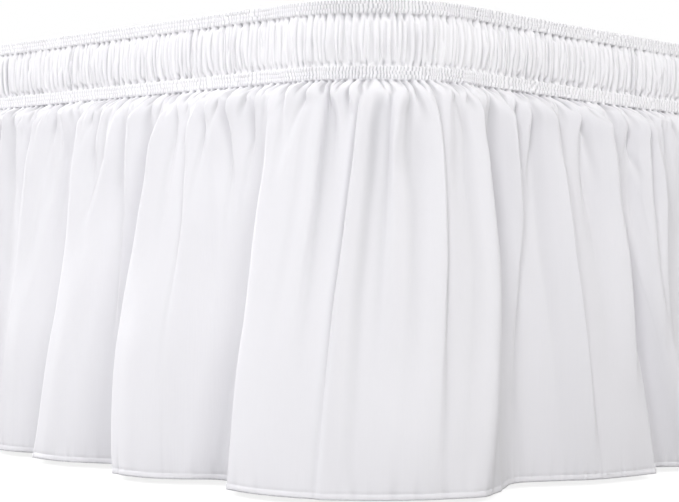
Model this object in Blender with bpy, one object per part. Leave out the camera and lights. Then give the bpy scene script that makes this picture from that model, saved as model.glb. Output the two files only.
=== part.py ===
"""A wrap-around bed skirt on the plain bed base that it fits.

Metres, +Z up. The origin is on the floor under the middle of the bed, with the bed's
length along Y. The skirt is one gathered strip of cloth, joined into a ring. Two rows
of elastic draw it against the side of the base, and below them it hangs in loose,
uneven folds that stop just above the floor.
"""

import math
import random
from typing import NamedTuple

import bmesh
import bpy
from mathutils import Vector

# Bed base: a twin foundation, 38 by 75 inches, on round legs.
BASE_WIDTH = 0.965
BASE_LENGTH = 1.905
BASE_CORNER_RADIUS = 0.093
BASE_TOP = 0.367
BASE_HEIGHT = 0.190
BASE_EDGE_ROUNDING = 0.006
BASE_CORNER_STEPS = 16
EDGE_ROUNDING_STEPS = 2
ROUND_PROFILE = 0.5
LEG_SPREAD_X = 0.400
LEG_PLACES_Y = (-0.860, 0.0, 0.860)
LEG_TOP_RADIUS = 0.028
LEG_FOOT_RADIUS = 0.022
LEG_SIDES = 24
TOUCHING_GAP = 0.0003

# Skirt cloth and its two elastics, layer by layer outwards from the base.
CLOTH_THICKNESS = 0.0022
TAPE_THICKNESS = 0.0012
LAYER_GAP = 0.0006
TAPE_HEIGHT = 0.0090
TAPE_CORNER_STEPS = 16
TAPE_RUN_STEPS = 12

# Heights: the heading is the gathered belt between the top edge and the gather line.
SKIRT_TOP = 0.383
HEADING_HEIGHT = 0.061
HEM_HEIGHT = 0.005
UPPER_TAPE_DROP = 0.0012
LOWER_TAPE_DROP = 0.0508
LONG_SIDE_SAG = 0.0135
SAG_POWER = 2.6

# The drawn-up belt stands a little proud between its elastics.
PUFF_OUT = 0.0020
PUFF_LEVEL = 0.030

# How far down the drop each ring of points lies, from the gather line (0) to the hem (1).
DROP_LEVELS = (0.0, 0.20, 0.52, 1.0)
FLARE_POWER = 1.1
SKIRT_STEPS = 380

# Edges that turn by more degrees than this stay sharp.
SHARPEST_SMOOTH_TURN = 40


class Fold(NamedTuple):
    """One fold at the hem: a crest from crest_from to crest_to, then the trough after it.

    Places run along the heading line in metres from the middle of the foot-right corner,
    positive up the right side. The out values are how far the hem stands off that line.
    """

    crest_from: float
    from_out: float
    crest_to: float
    to_out: float
    trough_at: float
    trough_out: float


CORNER_FOLDS = (
    Fold(-0.432, 0.042, -0.404, 0.043, -0.376, 0.031),
    Fold(-0.350, 0.053, -0.310, 0.050, -0.252, 0.018),
    Fold(-0.216, 0.065, -0.166, 0.057, -0.130, 0.008),
    Fold(-0.080, 0.055, 0.038, 0.058, 0.136, 0.011),
    Fold(0.184, 0.044, 0.260, 0.050, 0.294, 0.009),
    Fold(0.345, 0.044, 0.378, 0.049, 0.420, 0.014),
)

# The folds past the ones placed by hand follow one rule, with these ranges.
FOLD_SEED = 11
MEAN_FOLD_WIDTH = 0.128
CREST_SHARE = (0.20, 0.42)
CREST_OUT = (0.044, 0.064)
AFTER_REST_SHARE = (0.62, 0.76)
TROUGH_OUT = (0.008, 0.028)
FOLD_WIDTH_SPREAD = 0.24
CREST_TILT = 0.006
# From the last of them to the first hand-placed crest there is only a rise.
LAST_RISE = 0.045

HEADING_OFFSET = LAYER_GAP + TAPE_THICKNESS + LAYER_GAP + CLOTH_THICKNESS
RING_WIDTH = BASE_WIDTH + 2 * HEADING_OFFSET
RING_LENGTH = BASE_LENGTH + 2 * HEADING_OFFSET
RING_RADIUS = BASE_CORNER_RADIUS + HEADING_OFFSET
SIDE_RUN = RING_LENGTH - 2 * RING_RADIUS
END_RUN = RING_WIDTH - 2 * RING_RADIUS
CORNER_RUN = RING_RADIUS * math.pi / 2
PERIMETER = 2 * (SIDE_RUN + END_RUN) + 4 * CORNER_RUN


def clear_scene():
    for obj in list(bpy.data.objects):
        bpy.data.objects.remove(obj)


def make_material(name, color, roughness, metallic=0.0):
    material = bpy.data.materials.new(name)
    material.use_nodes = True
    shader = material.node_tree.nodes["Principled BSDF"]
    shader.inputs["Base Color"].default_value = (*color, 1.0)
    shader.inputs["Roughness"].default_value = roughness
    shader.inputs["Metallic"].default_value = metallic
    return material


def add_object(name, mesh_builder, material):
    """Turns a finished bmesh into a named object of the scene, and frees the bmesh."""
    bmesh.ops.recalc_face_normals(mesh_builder, faces=mesh_builder.faces)
    mesh = bpy.data.meshes.new(name)
    mesh_builder.to_mesh(mesh)
    mesh_builder.free()
    mesh.shade_smooth()
    mesh.set_sharp_from_angle(angle=math.radians(SHARPEST_SMOOTH_TURN))
    mesh.materials.append(material)
    obj = bpy.data.objects.new(name, mesh)
    bpy.context.scene.collection.objects.link(obj)
    return obj


def ring_spot(along):
    """(x, y), outward normal and sag at a place on the heading line."""
    centre_x = RING_WIDTH / 2 - RING_RADIUS
    centre_y = RING_LENGTH / 2 - RING_RADIUS
    left = (along + CORNER_RUN / 2) % PERIMETER
    # Each quarter is a corner and then the straight run after it.
    quarters = (
        (centre_x, -centre_y, -math.pi / 2, SIDE_RUN, LONG_SIDE_SAG),
        (centre_x, centre_y, 0.0, END_RUN, 0.0),
        (-centre_x, centre_y, math.pi / 2, SIDE_RUN, LONG_SIDE_SAG),
        (-centre_x, -centre_y, math.pi, END_RUN, 0.0),
    )
    for corner_x, corner_y, turned, run, sag in quarters:
        centre = Vector((corner_x, corner_y))
        if left <= CORNER_RUN:
            angle = turned + left / RING_RADIUS
            normal = Vector((math.cos(angle), math.sin(angle)))
            return centre + RING_RADIUS * normal, normal, 0.0
        left -= CORNER_RUN
        if left <= run:
            angle = turned + math.pi / 2
            normal = Vector((math.cos(angle), math.sin(angle)))
            ahead = Vector((-normal.y, normal.x))
            dip = sag * (1 - abs(1 - 2 * left / run) ** SAG_POWER)
            return centre + RING_RADIUS * normal + left * ahead, normal, dip
        left -= run
    raise ValueError("the place is past the end of the ring")


def folds_round_the_bed():
    """The hand-placed folds, then folds by rule until they meet the first one again."""
    folds = list(CORNER_FOLDS)
    start = folds[-1].trough_at
    gap = PERIMETER + folds[0].crest_from - start
    dice = random.Random(FOLD_SEED)
    count = round(gap / MEAN_FOLD_WIDTH)
    widths = [1 + FOLD_WIDTH_SPREAD * dice.uniform(-1, 1) for _ in range(count)]
    scale = (gap - LAST_RISE) / sum(widths)
    at = start
    for width in widths:
        width *= scale
        rest = 1 - dice.uniform(*AFTER_REST_SHARE)
        crest_from = at + rest * width
        crest_to = crest_from + dice.uniform(*CREST_SHARE) * width
        from_out = dice.uniform(*CREST_OUT)
        to_out = from_out + dice.uniform(-CREST_TILT, CREST_TILT)
        at += width
        folds.append(Fold(crest_from, from_out, crest_to, to_out, at, dice.uniform(*TROUGH_OUT)))
    return folds


def hem_stations(folds):
    """(place, out) of every crest edge and trough, in order once round the ring."""
    stations = []
    for fold in folds:
        stations.append((fold.crest_from, fold.from_out))
        stations.append((fold.crest_to, fold.to_out))
        stations.append((fold.trough_at, fold.trough_out))
    stations.append((folds[0].crest_from + PERIMETER, folds[0].from_out))
    return stations


def hem_out(stations, along):
    """How far the hem stands off the heading line: an easy curve from station to station."""
    first = stations[0][0]
    along = first + (along - first) % PERIMETER
    for (before, out_before), (after, out_after) in zip(stations, stations[1:]):
        if along <= after:
            share = (along - before) / (after - before)
            return out_before + (out_after - out_before) * share * share * (3 - 2 * share)
    return stations[-1][1]


def flare(level):
    """The share of the hem's out that the cloth has reached, level down the drop."""
    return math.sin(math.pi / 2 * level) ** FLARE_POWER


def outer_profile(stations, along):
    """(out, height) of the cloth's outer face at one place, from the top edge to the hem."""
    dip = ring_spot(along)[2]
    gather_line = SKIRT_TOP - HEADING_HEIGHT - dip
    spread = hem_out(stations, along)
    profile = [(0.0, SKIRT_TOP - dip), (PUFF_OUT, SKIRT_TOP - PUFF_LEVEL - dip)]
    for level in DROP_LEVELS:
        height = gather_line + (HEM_HEIGHT - gather_line) * level
        profile.append((spread * flare(level), height))
    return profile


def sheet_ring(rows, thickness):
    """A closed ring of sheet: rows[i][k] is point k of the outer face at station i.

    The inner face is the outer one moved inwards, square to each row's own curve in plan.
    """
    builder = bmesh.new()
    count = len(rows)
    sections = []
    for i, row in enumerate(rows):
        outer = [builder.verts.new(point) for point in row]
        inner = []
        for k, point in enumerate(row):
            ahead = (rows[(i + 1) % count][k] - rows[i - 1][k]).xy.normalized()
            outward = Vector((ahead.y, -ahead.x, 0.0))
            inner.append(builder.verts.new(point - thickness * outward))
        sections.append(outer + inner[::-1])
    for i, section in enumerate(sections):
        following = sections[(i + 1) % count]
        for k in range(len(section)):
            after = (k + 1) % len(section)
            builder.faces.new((section[k], following[k], following[after], section[after]))
    return builder


def make_skirt():
    """The cloth: belt, drop and narrow hem in one piece, joined into a ring."""
    stations = hem_stations(folds_round_the_bed())
    rows = []
    for step in range(SKIRT_STEPS):
        along = stations[0][0] + PERIMETER * step / SKIRT_STEPS
        spot, normal, _ = ring_spot(along)
        row = []
        for out, height in outer_profile(stations, along):
            row.append(Vector((*(spot + out * normal), height)))
        rows.append(row)
    cloth = make_material("white_microfibre", (0.86, 0.86, 0.88), 0.72)
    return add_object("skirt", sheet_ring(rows, CLOTH_THICKNESS), cloth)


def tape_places():
    """Places round the ring, close together on the corners and wide apart on the straights."""
    places = []
    start = -CORNER_RUN / 2
    for run in (SIDE_RUN, END_RUN, SIDE_RUN, END_RUN):
        places += [start + CORNER_RUN * i / TAPE_CORNER_STEPS for i in range(TAPE_CORNER_STEPS)]
        start += CORNER_RUN
        places += [start + run * i / TAPE_RUN_STEPS for i in range(TAPE_RUN_STEPS)]
        start += run
    return places


def make_elastic(name, drop):
    """One flat elastic inside the belt, drop below the skirt's top edge."""
    inset = CLOTH_THICKNESS + LAYER_GAP
    rows = []
    for place in tape_places():
        spot, normal, dip = ring_spot(place)
        edge = spot - inset * normal
        top = SKIRT_TOP - drop - dip
        rows.append([Vector((*edge, top)), Vector((*edge, top - TAPE_HEIGHT))])
    woven = make_material(name + "_weave", (0.80, 0.80, 0.82), 0.80)
    return add_object(name, sheet_ring(rows, TAPE_THICKNESS), woven)


def rounded_outline(width, length, radius):
    """Corner points of a rectangle with round corners, anticlockwise."""
    points = []
    for quarter, (side_x, side_y) in enumerate(((1, -1), (1, 1), (-1, 1), (-1, -1))):
        centre_x = side_x * (width / 2 - radius)
        centre_y = side_y * (length / 2 - radius)
        for step in range(BASE_CORNER_STEPS + 1):
            angle = math.pi / 2 * (quarter - 1 + step / BASE_CORNER_STEPS)
            points.append((centre_x + radius * math.cos(angle), centre_y + radius * math.sin(angle)))
    return points


def is_level(edge):
    """Whether an edge runs level: the outline's own edges do, and the block's uprights don't."""
    first, second = edge.verts
    return abs(first.co.z - second.co.z) < BASE_HEIGHT / 2


def make_base():
    """The upholstered block of the bed base, with its top and bottom edges rounded over."""
    builder = bmesh.new()
    bottom = BASE_TOP - BASE_HEIGHT
    outline = rounded_outline(BASE_WIDTH, BASE_LENGTH, BASE_CORNER_RADIUS)
    floor_face = builder.faces.new([builder.verts.new((x, y, bottom)) for x, y in outline])
    raised = bmesh.ops.extrude_face_region(builder, geom=[floor_face])
    moved = [item for item in raised["geom"] if isinstance(item, bmesh.types.BMVert)]
    bmesh.ops.translate(builder, verts=moved, vec=(0, 0, BASE_HEIGHT))
    rims = [edge for edge in builder.edges if is_level(edge)]
    bmesh.ops.bevel(
        builder,
        geom=rims,
        offset=BASE_EDGE_ROUNDING,
        segments=EDGE_ROUNDING_STEPS,
        profile=ROUND_PROFILE,
        affect="EDGES",
    )
    cover = make_material("base_cover", (0.78, 0.78, 0.79), 0.85)
    return add_object("bed_base", builder, cover)


def make_leg(name, x, y, wood):
    """A round tapered leg that stands on the floor just under the base."""
    height = BASE_TOP - BASE_HEIGHT - TOUCHING_GAP
    builder = bmesh.new()
    bmesh.ops.create_cone(
        builder,
        cap_ends=True,
        segments=LEG_SIDES,
        radius1=LEG_FOOT_RADIUS,
        radius2=LEG_TOP_RADIUS,
        depth=height,
    )
    leg = add_object(name, builder, wood)
    leg.location = (x, y, height / 2)
    return leg


def main():
    clear_scene()
    make_skirt()
    make_elastic("elastic_upper", UPPER_TAPE_DROP)
    make_elastic("elastic_lower", LOWER_TAPE_DROP)
    make_base()
    wood = make_material("leg_wood", (0.62, 0.46, 0.30), 0.55)
    for row, y in enumerate(LEG_PLACES_Y, start=1):
        make_leg(f"leg_left_{row}", -LEG_SPREAD_X, y, wood)
        make_leg(f"leg_right_{row}", LEG_SPREAD_X, y, wood)


main()
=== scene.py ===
import math
import random
from typing import NamedTuple

import bpy
import numpy as np
from mathutils import Matrix, Vector


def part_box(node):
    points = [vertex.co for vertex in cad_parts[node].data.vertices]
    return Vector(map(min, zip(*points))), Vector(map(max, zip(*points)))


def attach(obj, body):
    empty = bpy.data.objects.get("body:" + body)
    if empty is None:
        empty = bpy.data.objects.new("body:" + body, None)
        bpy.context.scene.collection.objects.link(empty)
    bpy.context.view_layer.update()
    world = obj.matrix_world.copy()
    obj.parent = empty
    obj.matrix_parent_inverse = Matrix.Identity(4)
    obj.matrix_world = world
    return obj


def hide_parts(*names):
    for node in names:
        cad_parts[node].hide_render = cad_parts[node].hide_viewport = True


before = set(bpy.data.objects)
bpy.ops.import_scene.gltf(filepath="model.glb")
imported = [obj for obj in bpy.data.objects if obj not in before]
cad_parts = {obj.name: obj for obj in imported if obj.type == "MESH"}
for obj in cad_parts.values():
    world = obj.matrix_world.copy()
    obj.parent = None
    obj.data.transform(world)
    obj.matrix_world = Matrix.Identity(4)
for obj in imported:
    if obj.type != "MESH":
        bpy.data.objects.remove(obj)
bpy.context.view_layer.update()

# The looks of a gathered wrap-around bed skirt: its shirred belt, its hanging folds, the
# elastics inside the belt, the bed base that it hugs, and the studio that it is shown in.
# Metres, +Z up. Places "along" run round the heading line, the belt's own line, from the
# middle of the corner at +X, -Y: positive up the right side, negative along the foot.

# The belt's line stands this far off the base: elastic, cloth and the air between them.
HEADING_OFFSET = 0.0046
BASE_CORNER_RADIUS = 0.093
base_low, base_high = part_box("bed_base")
skirt_low, skirt_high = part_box("skirt")
RING_WIDTH = base_high.x - base_low.x + 2 * HEADING_OFFSET
RING_LENGTH = base_high.y - base_low.y + 2 * HEADING_OFFSET
RING_RADIUS = BASE_CORNER_RADIUS + HEADING_OFFSET
SIDE_RUN = RING_LENGTH - 2 * RING_RADIUS
END_RUN = RING_WIDTH - 2 * RING_RADIUS
CORNER_RUN = RING_RADIUS * math.pi / 2
PERIMETER = 2 * (SIDE_RUN + END_RUN) + 4 * CORNER_RUN
LONG_SIDE_SAG = 0.0135
SAG_POWER = 2.6

# Depths below the skirt's top edge.
SKIRT_TOP = skirt_high.z
TOP_BAND = 0.0103
RUCHE_END = 0.0513
HEADING_HEIGHT = 0.0610
HEM_HEIGHT = skirt_low.z
CLOTH = 0.0009

# The photographed corner is finely meshed between these places, and the rest more coarsely.
FRONT_FROM, FRONT_TO = -0.520, 0.460
# Ribs, small pleats and noise are counted once round the bed from here.
COUNTED_FROM = -0.560
# Past the photographed corner the ruching and the small pleats are wider by this much.
ROUND_SCALE = 1.35

DROP_HEIGHT = SKIRT_TOP - HEADING_HEIGHT - HEM_HEIGHT
HEM_STITCH = 0.0045
# The gathers just under the gather line are a piece of their own in the photographed corner.
GATHERS_HEIGHT = 0.026
# They overlap the rest of the drop by this much.
GATHERS_OVERLAP = 0.002
# The drop's row spacing at some depths below the gather line. Its last row is left out where
# it would be closer than this share of the widest spacing to the end.
ROW_STEPS = ((0.0, 0.02, 0.09, 0.15), (0.0008, 0.0013, 0.0042, 0.0060))
LEAST_LAST_ROW = 0.4
# The hem's own rows, as heights above its edge, and the room that the other rows leave them.
HEM_ROWS = (0.0075, 0.0058, 0.0050, HEM_STITCH, 0.0040, 0.0032, 0.0016, 0.0)
HEM_ROOM = 0.002
# The hem's cloth is turned in as far as this row of them, counted back from the edge.
HEM_TURNED_TO = -7
# How far the cloth is turned in behind the top edge.
TURNED_IN = 0.003
# The drop's column spacing: the front drop, its gathers, and the drop round the bed. Every
# second row is left out round the bed.
DROP_STEP, GATHERS_STEP, ROUND_DROP_STEP = 0.0010, 0.00052, 0.0040
ROUND_EVERY = 2
# How many times as far apart the belt's columns are round the bed.
ROUND_COARSENESS = 3.0


class Spacing(NamedTuple):
    """How far apart a belt stretch's columns and rows are, and how much coarser rows may get."""

    columns: float
    rows: float
    coarsest: float


TOP_BAND_SPACING = Spacing(0.00034, 0.00075, 1.5)
RUCHE_SPACING = Spacing(0.00046, 0.0014, 1.8)
LOWER_BAND_SPACING = Spacing(0.00041, 0.00072, 1.5)


class Bend(NamedTuple):
    """A line down the drop where the main folds bend.

    top, middle and hem are its places at the gather line, half way down and at the hem. out
    is how far the hem stands off the heading line there, and radius is how soft the bend is.
    """

    top: float
    middle: float
    hem: float
    out: float
    radius: float


TIGHT, CREST, TROUGH = 0.0026, 0.018, 0.012
# Each fold is a crest, of two or three bends, and then a trough.
CORNER_BENDS = (
    Bend(-0.401, -0.416, -0.432, 0.042, TIGHT),
    Bend(-0.385, -0.398, -0.408, 0.044, CREST),
    Bend(-0.336, -0.345, -0.374, 0.031, TROUGH),
    Bend(-0.325, -0.332, -0.353, 0.053, TIGHT),
    Bend(-0.308, -0.309, -0.330, 0.055, CREST),
    Bend(-0.280, -0.286, -0.305, 0.049, CREST),
    Bend(-0.216, -0.237, -0.258, 0.020, TROUGH),
    Bend(-0.203, -0.223, -0.218, 0.065, TIGHT),
    Bend(-0.184, -0.196, -0.193, 0.066, CREST),
    Bend(-0.166, -0.166, -0.163, 0.056, CREST),
    Bend(-0.086, -0.092, -0.124, 0.017, TROUGH),
    Bend(-0.074, -0.074, -0.081, 0.055, TIGHT),
    Bend(-0.046, -0.046, -0.055, 0.058, CREST),
    Bend(0.026, 0.020, 0.000, 0.061, CREST),
    Bend(0.073, 0.069, 0.056, 0.057, TIGHT),
    Bend(0.086, 0.100, 0.124, 0.013, TROUGH),
    Bend(0.160, 0.170, 0.190, 0.044, CREST),
    Bend(0.190, 0.205, 0.232, 0.050, CREST),
    Bend(0.208, 0.235, 0.262, 0.050, TIGHT),
    Bend(0.222, 0.254, 0.288, 0.018, TROUGH),
    Bend(0.252, 0.266, 0.330, 0.044, CREST),
    Bend(0.274, 0.279, 0.355, 0.049, TIGHT),
    Bend(0.292, 0.312, 0.416, 0.014, TROUGH),
)

# The folds past the listed ones follow one rule, with these ranges.
FOLD_SEED = 11
MEAN_FOLD_WIDTH = 0.128
FOLD_WIDTH_SPREAD = 0.24
# Room for the rise from the last trough to the first listed crest.
LAST_RISE = 0.045
# The share of a fold's width that is left past its rise, and its crest's share of the width.
AFTER_REST_SHARE = (0.62, 0.76)
CREST_SHARE = (0.20, 0.42)
CREST_OUT = (0.044, 0.064)
CREST_TILT = 0.006
CROWN = 0.003
TROUGH_OUT = (0.008, 0.028)
STEEP_FLANK = 0.012
# A bend is never softer than this share of the narrower of the gaps beside it.
SOFTEST_BEND = 0.45


class Ridge(NamedTuple):
    """A lesser fold of the drop, which dies away on its way down.

    Its places are where it starts, its middle and where it ends; starts and ends are
    levels, 0 at the gather line and 1 at the hem. left and right are its flanks' widths.
    """

    top: float
    middle: float
    foot: float
    starts: float
    ends: float
    stand: float
    left: float
    right: float


RIDGES = (
    Ridge(-0.430, -0.430, -0.434, 0.00, 0.50, 0.0084, 0.007, 0.022),
    Ridge(-0.400, -0.410, -0.418, 0.00, 0.60, 0.0074, 0.007, 0.022),
    Ridge(-0.366, -0.371, -0.392, 0.00, 0.60, 0.0036, 0.016, 0.016),
    Ridge(-0.330, -0.326, -0.333, 0.00, 0.60, 0.0088, 0.008, 0.024),
    Ridge(-0.284, -0.282, -0.305, 0.02, 0.40, 0.0074, 0.012, 0.020),
    Ridge(-0.250, -0.248, -0.262, 0.00, 0.70, 0.0145, 0.006, 0.024),
    Ridge(-0.206, -0.211, -0.223, 0.00, 0.60, 0.0092, 0.008, 0.024),
    Ridge(-0.175, -0.160, -0.158, 0.00, 0.85, 0.0082, 0.012, 0.028),
    Ridge(-0.125, -0.121, -0.117, 0.00, 0.24, 0.0062, 0.006, 0.018),
    Ridge(-0.076, -0.071, -0.076, 0.00, 0.60, 0.0060, 0.008, 0.022),
    Ridge(-0.035, -0.036, -0.044, 0.00, 0.75, 0.0048, 0.013, 0.007),
    Ridge(-0.001, -0.014, -0.024, 0.00, 1.30, 0.0080, 0.006, 0.010),
    Ridge(0.0145, 0.015, 0.010, 0.00, 0.75, 0.0070, 0.009, 0.010),
    Ridge(0.039, 0.037, 0.027, 0.00, 1.08, 0.0074, 0.016, 0.006),
    Ridge(0.073, 0.073, 0.057, 0.00, 1.15, 0.0092, 0.015, 0.006),
    Ridge(0.106, 0.116, 0.112, 0.00, 0.86, 0.0140, 0.018, 0.008),
    Ridge(0.136, 0.134, 0.134, 0.00, 0.30, 0.0060, 0.012, 0.006),
    Ridge(0.158, 0.165, 0.192, 0.00, 1.03, 0.0150, 0.022, 0.007),
    Ridge(0.192, 0.200, 0.206, 0.00, 0.26, 0.0062, 0.012, 0.006),
    Ridge(0.213, 0.228, 0.238, 0.00, 0.80, 0.0180, 0.026, 0.007),
    Ridge(0.252, 0.257, 0.268, 0.00, 0.26, 0.0090, 0.014, 0.006),
    Ridge(0.274, 0.275, 0.283, 0.00, 0.70, 0.0130, 0.016, 0.007),
    Ridge(0.292, 0.298, 0.292, 0.00, 0.66, 0.0130, 0.014, 0.007),
)
# The ridges past the listed ones follow one rule too, from the first place to so far
# before the corner again. Each drifts sideways, and by so many times as much at its foot.
RIDGE_SEED = 23
RULED_FROM, RULED_BEFORE = 0.320, 0.460
RIDGE_PITCH = (0.026, 0.050)
RIDGE_DRIFT = 0.012
FOOT_DRIFTS = 1.4
NARROW_FLANK, WIDE_FLANK = (0.007, 0.010), (0.018, 0.030)
RIDGE_ENDS = (0.26, 0.84)
RIDGE_STAND = (0.0040, 0.0078)
# One more runs down each tight bend round the bed, with a steep and a soft flank.
BEND_RIDGE_FLANKS = (0.008, 0.026)
BEND_RIDGE_ENDS, BEND_RIDGE_STAND = 0.65, 0.006
# How far sideways a ridge is looked for, and how far down its length its middle place is.
RIDGE_REACH = 0.045
RIDGE_MIDDLE = 0.4
# A ridge's flanks at its top, as a share of their widths, and how much they gain on the way.
FLANK_AT_TOP, FLANK_GAINS = 0.7, 0.6
# Below 1, a ridge stands out most above its half way.
RIDGE_PEAK_POWER = 0.42
# How far a ridge or pleat leans over its steeper side, as a share of how far it stands out.
OVERHANG = 0.45
RUCHE_OVERHANG = 0.25


class Pleats(NamedTuple):
    """Small pleats or hollows that run away from a stitched line, each drawn from ranges.

    pitch is from one to the next, stand how far it stands out (a hollow's is below 0),
    half its half width at the line, spread how much wider and lean how far sideways it
    gets for each metre away from the line, and rise how soon it has its full height.
    """

    seed: int
    pitch: tuple
    stand: tuple
    half: tuple
    spread: tuple
    lean: float
    reach: tuple
    rise: float


FIRST_PLEATS = Pleats(
    seed=31,
    pitch=(0.0045, 0.0085),
    stand=(0.0026, 0.0052),
    half=(0.0009, 0.0016),
    spread=(0.05, 0.10),
    lean=0.25,
    reach=(0.016, 0.036),
    rise=0.008,
)
LONGER_PLEATS = Pleats(
    seed=32,
    pitch=(0.011, 0.020),
    stand=(0.0044, 0.0080),
    half=(0.0014, 0.0024),
    spread=(0.05, 0.10),
    lean=0.15,
    reach=(0.035, 0.090),
    rise=0.014,
)
LONGEST_PLEATS = Pleats(
    seed=33,
    pitch=(0.022, 0.040),
    stand=(0.0048, 0.0080),
    half=(0.0022, 0.0036),
    spread=(0.03, 0.06),
    lean=0.08,
    reach=(0.080, 0.190),
    rise=0.026,
)
GATHER_HOLLOWS = Pleats(
    seed=34,
    pitch=(0.0040, 0.0075),
    stand=(-0.0090, -0.0050),
    half=(0.0010, 0.0017),
    spread=(-0.08, -0.02),
    lean=0.20,
    reach=(0.008, 0.016),
    rise=0.0008,
)
UPPER_HOLLOWS = Pleats(
    seed=42,
    pitch=(0.0042, 0.0082),
    stand=(-0.0080, -0.0048),
    half=(0.0009, 0.0015),
    spread=(-0.12, -0.04),
    lean=0.15,
    reach=(0.005, 0.010),
    rise=0.0008,
)
LOWER_HOLLOWS = Pleats(
    seed=43,
    pitch=(0.0042, 0.0082),
    stand=(-0.0066, -0.0034),
    half=(0.0008, 0.0014),
    spread=(-0.12, -0.04),
    lean=0.15,
    reach=(0.0045, 0.0085),
    rise=0.0008,
)
# A pleat's soft side is this many times as wide as its steep side. No pleat is narrower than
# this, and each has a share of its rise behind it already where it leaves the stitched line.
SOFT_FLANK = 2.4
NARROWEST_HALF = 0.0003
RISEN_AT_LINE = 0.2
# No point of the cloth lies further in than this from the belt's line, clear of the base.
DEEPEST = -0.0020
# A ridge that starts at the gather line has its full height this far below it.
RIDGE_RISE = 0.024

# The ribs are closer together round the photographed corner than past these places.
CLOSE_RIBS = 0.105
RIB_PITCH = (0.0040, 0.0026, 0.0040)
# Below 1, ribs are broad and the gaps between them narrow; their mean height, from 0 to 1.
RIB_FULLNESS = 0.6
RIB_MEAN = 0.72
# The ribs' depth round the photographed corner and, clear of it, along the walls.
RIB_DEPTH_AT = (0.090, 0.200)
RIB_DEPTH = (0.0030, 0.0019)
# Their spacing, their lean and depth, and each lower row's shift vary by this much, over such
# lengths of cloth.
SPACING_VARIES = ((0.50, 0.011), (0.20, 0.004))
LEAN_VARIES = (0.6, 0.030)
SHIFT_VARIES = (0.5, 0.013)
DEPTH_VARIES = (0.30, 0.007)
# The rows' shifts are read so far apart, to differ; the ribs' mean share of their full depth.
SHIFTS_APART = 0.1
MEAN_DEPTH = 0.85
# Below 1, a band's rows puff out fully between their stitches, where they stand out this much
# more. At the stitches the ribs keep this share of their depth.
PUFF_POWER = 0.55
PUFF_OUT = 0.0004
RIBS_AT_STITCHES = 0.40
# How far from a stitched line the cloth is drawn in to a band's ribs.
PINCH_REACH = 0.0012
# Painted shade: the cloth's colour is darkened where it lies behind the mean of the cloth on both
# sides of it, as in creases and gaps. A point gets the full shade when it lies so far behind: how
# wide a stretch that mean takes in each way, and how far behind, for each kind.
PAINTED_SHADE_DEPTHS = {"band": (0.0022, 0.0008), "ruche": (0.0024, 0.0013), "drop": (0.0042, 0.0015)}
# How far the fully shaded cloth's colour is painted toward dark grey.
PAINTED_SHADE_STRENGTH = 0.52
# In the drop that shade fades to this share of itself, within so far below the gather line.
OPEN_SHADE, SHADE_FADES = 0.50, 0.014
# The drop bulges out under the gather line: how far, how soon, and how it fades further down.
BULGE_OUT, BULGE_RISE, BULGE_FADES = 0.0018, 0.006, 0.07
# Its soft unevenness, with its steps along and down the drop, and how soon it is fully there.
SOFT_OUT, SOFT_RISE = 0.0013, 0.03
SOFT_STEPS, SOFT_SEED = (0.034, 0.070), 71
# The hem's stitches draw in a groove; its fold stands out, within so far past the stitches.
GROOVE_DEPTH, GROOVE_WIDTH = 0.0006, 0.0009
HEM_FOLD_OUT, HEM_FOLD_EDGE = 0.0003, 0.0008
# The puckers round the stitches: two sizes, how much of each, how far out and how far up.
PUCKERS = ((1.0, 0.0036), (0.9, 0.0100))
PUCKER_OUT, PUCKER_REACH, PUCKER_SEED = 0.0007, 0.008, 91
# The belt's colour is painted paler than the drop's, painted light for the white base that backs
# it; it turns to the drop's between so far above and below the gather line.
BELT_FADES = (0.004, 0.020)
# How far the bands stand out past the belt's line.
BAND_OUT = 0.0024
# The puffs of the belt and the gathers take up so many times their height in cloth.
PUFF_TAKES = 1.1
# The ribs raise the cloth at the top edge by this share of how far they stand out there, less
# and less within such a depth.
FRILL_LIFT, FRILL_REACH = 0.4, 0.0016
# The ruched stretch reaches this far behind the bands on both sides of it.
RUCHE_TUCK = 0.0004
# The ruched stretch's belly; below 1, it is full rather than pointed. Soft waves across it,
# with their steps along and down the belt.
BELLY_OUT, BELLY_POWER = 0.0030, 0.5
BELLY_WAVES, BELLY_SEED = 0.0009, 51
BELLY_WAVE_STEPS = (0.012, 0.016)
# The ruching's ridges are further apart and flatter where the corner stretches them out.
CORNER_REACH = (0.080, 0.160)
CORNER_SPACING = (1.35, 1.0)
CORNER_FLATNESS = (0.85, 1.05)
# The hollows beside a stitched line are further apart and deeper along the walls.
HOLLOW_SPACING = (1.0, 1.4)
HOLLOW_DEPTH = (0.70, 1.3)
# They are wider there too, and less light gets into them, so more shade is painted into their
# colour.
HOLLOW_WIDTH = (1.0, 1.3)
HOLLOW_PAINTED_SHADE = (0.85, 1.4)


class Ruching(NamedTuple):
    """The upright ridges between the belt's two bands, each drawn from ranges."""

    seed: int
    pitch: tuple
    stand: tuple
    steep_half: tuple
    soft_half: tuple
    share_cut_short: float


RUCHING = (
    Ruching(41, (0.0045, 0.0090), (0.0018, 0.0030), (0.0010, 0.0014), (0.0024, 0.0044), 0.10),
    Ruching(44, (0.0024, 0.0046), (0.0010, 0.0018), (0.0008, 0.0011), (0.0011, 0.0020), 0.30),
)
# A ridge tilts and waves sideways by up to these, with such a number of half waves, and is
# looked for within this reach.
RUCHE_TILT = 0.0014
RUCHE_WAVE = 0.0004
RUCHE_HALF_WAVES = (0.8, 2.0)
RUCHE_REACH = 0.014
# Where down the stretch a ridge that is cut short begins or ends, how often an uncut one ends
# early, and within what share of the height it fades.
CUT_BEGINS, CUT_FINISHES = (0.1, 0.5), (0.5, 0.9)
ENDS_EARLY = 0.15
RUCHE_FADE = 0.3
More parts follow.
